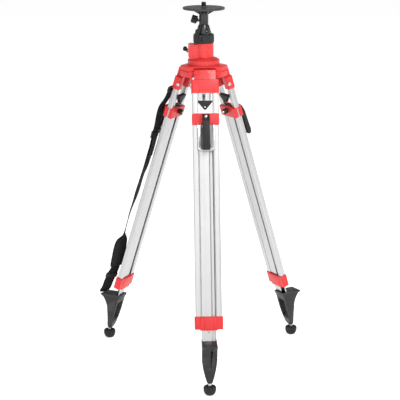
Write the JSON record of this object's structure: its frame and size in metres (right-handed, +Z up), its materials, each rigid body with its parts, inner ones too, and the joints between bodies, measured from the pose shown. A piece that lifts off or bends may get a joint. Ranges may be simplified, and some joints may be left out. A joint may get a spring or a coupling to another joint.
{
  "type": "elevating tripod",
  "caption": "Elevating tripod with a crank-raised column, round head plate with a threaded stud, sliding clamped legs, step shoes and a carrying strap.",
  "frame": {"origin": "on the ground, in the middle of the box round the standing tripod", "axes": "+Z up along the column, -Y towards the front leg, +X to the right seen from the front"},
  "size_m": [0.6926, 0.5999, 1.18],
  "materials": {
    "red_paint": "smooth gloss paint on die-cast aluminium",
    "aluminium": "satin anodised, drawn lines along the length",
    "column_aluminium": "polished tube",
    "black_casting": "satin black coating on cast metal",
    "steel": "zinc plated",
    "chrome": "bright chrome plate",
    "black_plastic": "moulded, lightly textured",
    "rubber": "moulded rubber, worn grey on the tread",
    "bushing": "machined acetal",
    "webbing": "woven nylon"
  },
  "bodies": {
    "head": {"head_base": "red_paint", "column_housing": "red_paint", "gearbox_cover": "red_paint", "column_bush": "bushing", "collar_ring": "black_casting", "hinge_pin_front": "steel", "hinge_pin_right": "steel", "hinge_pin_left": "steel"},
    "column": {"column_tube": "column_aluminium", "column_head": "black_casting", "head_plate": "black_casting", "mounting_stud": "steel", "column_end_cap": "black_plastic"},
    "lock_knob": {"lock_knob": "black_plastic"},
    "crank": {"pinion_shaft": "steel", "crank_arm": "chrome"},
    "crank_grip": {"crank_grip": "black_plastic"},
    "collar_lever": {"collar_lever": "black_plastic"},
    "upper_leg_front": {"leg_casting_front": "red_paint", "rail_a_front": "aluminium", "rail_b_front": "aluminium", "rail_stop_front": "black_plastic", "bottom_bracket_front": "red_paint"},
    "lower_leg_front": {"clamp_outer_front": "red_paint", "clamp_inner_front": "red_paint", "clamp_bolt_front": "steel", "lower_bar_front": "aluminium", "leg_shoe_front": "black_casting", "rubber_foot_front": "rubber"},
    "clamp_lever_front": {"clamp_lever_front": "black_plastic"},
    "clamp_nut_front": {"clamp_nut_front": "black_plastic"},
    "upper_leg_right": {"leg_casting_right": "red_paint", "rail_a_right": "aluminium", "rail_b_right": "aluminium", "rail_stop_right": "black_plastic", "bottom_bracket_right": "red_paint"},
    "lower_leg_right": {"clamp_outer_right": "red_paint", "clamp_inner_right": "red_paint", "clamp_bolt_right": "steel", "lower_bar_right": "aluminium", "leg_shoe_right": "black_casting", "rubber_foot_right": "rubber"},
    "clamp_lever_right": {"clamp_lever_right": "black_plastic"},
    "clamp_nut_right": {"clamp_nut_right": "black_plastic"},
    "upper_leg_left": {"leg_casting_left": "red_paint", "rail_a_left": "aluminium", "rail_b_left": "aluminium", "rail_stop_left": "black_plastic", "bottom_bracket_left": "red_paint", "strap_upper": "webbing"},
    "lower_leg_left": {"clamp_outer_left": "red_paint", "clamp_inner_left": "red_paint", "clamp_bolt_left": "steel", "lower_bar_left": "aluminium", "leg_shoe_left": "black_casting", "rubber_foot_left": "rubber", "strap_pad": "webbing", "strap_lower": "webbing"},
    "clamp_lever_left": {"clamp_lever_left": "black_plastic"},
    "clamp_nut_left": {"clamp_nut_left": "black_plastic"}
  },
  "joints": [
    {"name": "column_raise", "type": "slide", "parent": "head", "child": "column", "axis": [0, 0, 1], "range_m": [0, 0.14]},
    {"name": "crank_turn", "type": "hinge", "parent": "head", "child": "crank", "pos_m": [-0.028, 0.08655, 1.022], "axis": [0, -1, 0], "range_deg": [0, 1146]},
    {"name": "crank_grip_spin", "type": "hinge", "parent": "crank", "child": "crank_grip", "pos_m": [-0.056, 0.15255, 1.022], "axis": [0, 1, 0], "continuous": true},
    {"name": "lock_knob_turn", "type": "hinge", "parent": "column", "child": "lock_knob", "pos_m": [-0.0154, 0.08655, 1.121], "axis": [-0.9563, 0, 0.2924], "range_deg": [0, 720]},
    {"name": "collar_lever_swing", "type": "hinge", "parent": "head", "child": "collar_lever", "pos_m": [-0.01256, 0.05056, 1.065], "axis": [0, 0, 1], "range_deg": [0, 110]},
    {"name": "leg_fold_front", "type": "hinge", "parent": "head", "child": "upper_leg_front", "pos_m": [0, 0.03662, 0.962], "axis": [-1, 0, 0], "range_deg": [-18, 12]},
    {"name": "leg_extend_front", "type": "slide", "parent": "upper_leg_front", "child": "lower_leg_front", "axis": [0, -0.309, -0.9511], "range_m": [0, 0.56]},
    {"name": "clamp_lever_swing_front", "type": "hinge", "parent": "lower_leg_front", "child": "clamp_lever_front", "pos_m": [0, -0.04338, 0.83553], "axis": [-1, 0, 0], "range_deg": [0, 100]},
    {"name": "clamp_nut_turn_front", "type": "hinge", "parent": "lower_leg_front", "child": "clamp_nut_front", "pos_m": [0, 0.00227, 0.8207], "axis": [0, 0.9511, -0.309], "range_deg": [-180, 180]},
    {"name": "leg_fold_right", "type": "hinge", "parent": "head", "child": "upper_leg_right", "pos_m": [0.04324, 0.11152, 0.962], "axis": [0.5, -0.866, 0], "range_deg": [-18, 12]},
    {"name": "leg_extend_right", "type": "slide", "parent": "upper_leg_right", "child": "lower_leg_right", "axis": [0.2676, 0.1545, -0.9511], "range_m": [0, 0.56]},
    {"name": "clamp_lever_swing_right", "type": "hinge", "parent": "lower_leg_right", "child": "clamp_lever_right", "pos_m": [0.11252, 0.15152, 0.83553], "axis": [0.5, -0.866, 0], "range_deg": [0, 100]},
    {"name": "clamp_nut_turn_right", "type": "hinge", "parent": "lower_leg_right", "child": "clamp_nut_right", "pos_m": [0.07299, 0.12869, 0.8207], "axis": [-0.8236, -0.4755, -0.309], "range_deg": [-180, 180]},
    {"name": "leg_fold_left", "type": "hinge", "parent": "head", "child": "upper_leg_left", "pos_m": [-0.04324, 0.11152, 0.962], "axis": [0.5, 0.866, 0], "range_deg": [-18, 12]},
    {"name": "leg_extend_left", "type": "slide", "parent": "upper_leg_left", "child": "lower_leg_left", "axis": [-0.2676, 0.1545, -0.9511], "range_m": [0, 0.56]},
    {"name": "clamp_lever_swing_left", "type": "hinge", "parent": "lower_leg_left", "child": "clamp_lever_left", "pos_m": [-0.11252, 0.15152, 0.83553], "axis": [0.5, 0.866, 0], "range_deg": [0, 100]},
    {"name": "clamp_nut_turn_left", "type": "hinge", "parent": "lower_leg_left", "child": "clamp_nut_left", "pos_m": [-0.07299, 0.12869, 0.8207], "axis": [0.8236, -0.4755, -0.309], "range_deg": [-180, 180]}
  ],
  "couplings": [
    {"joint": "crank_turn", "follows": "column_raise", "rad_per_m": 142.86}
  ]
}
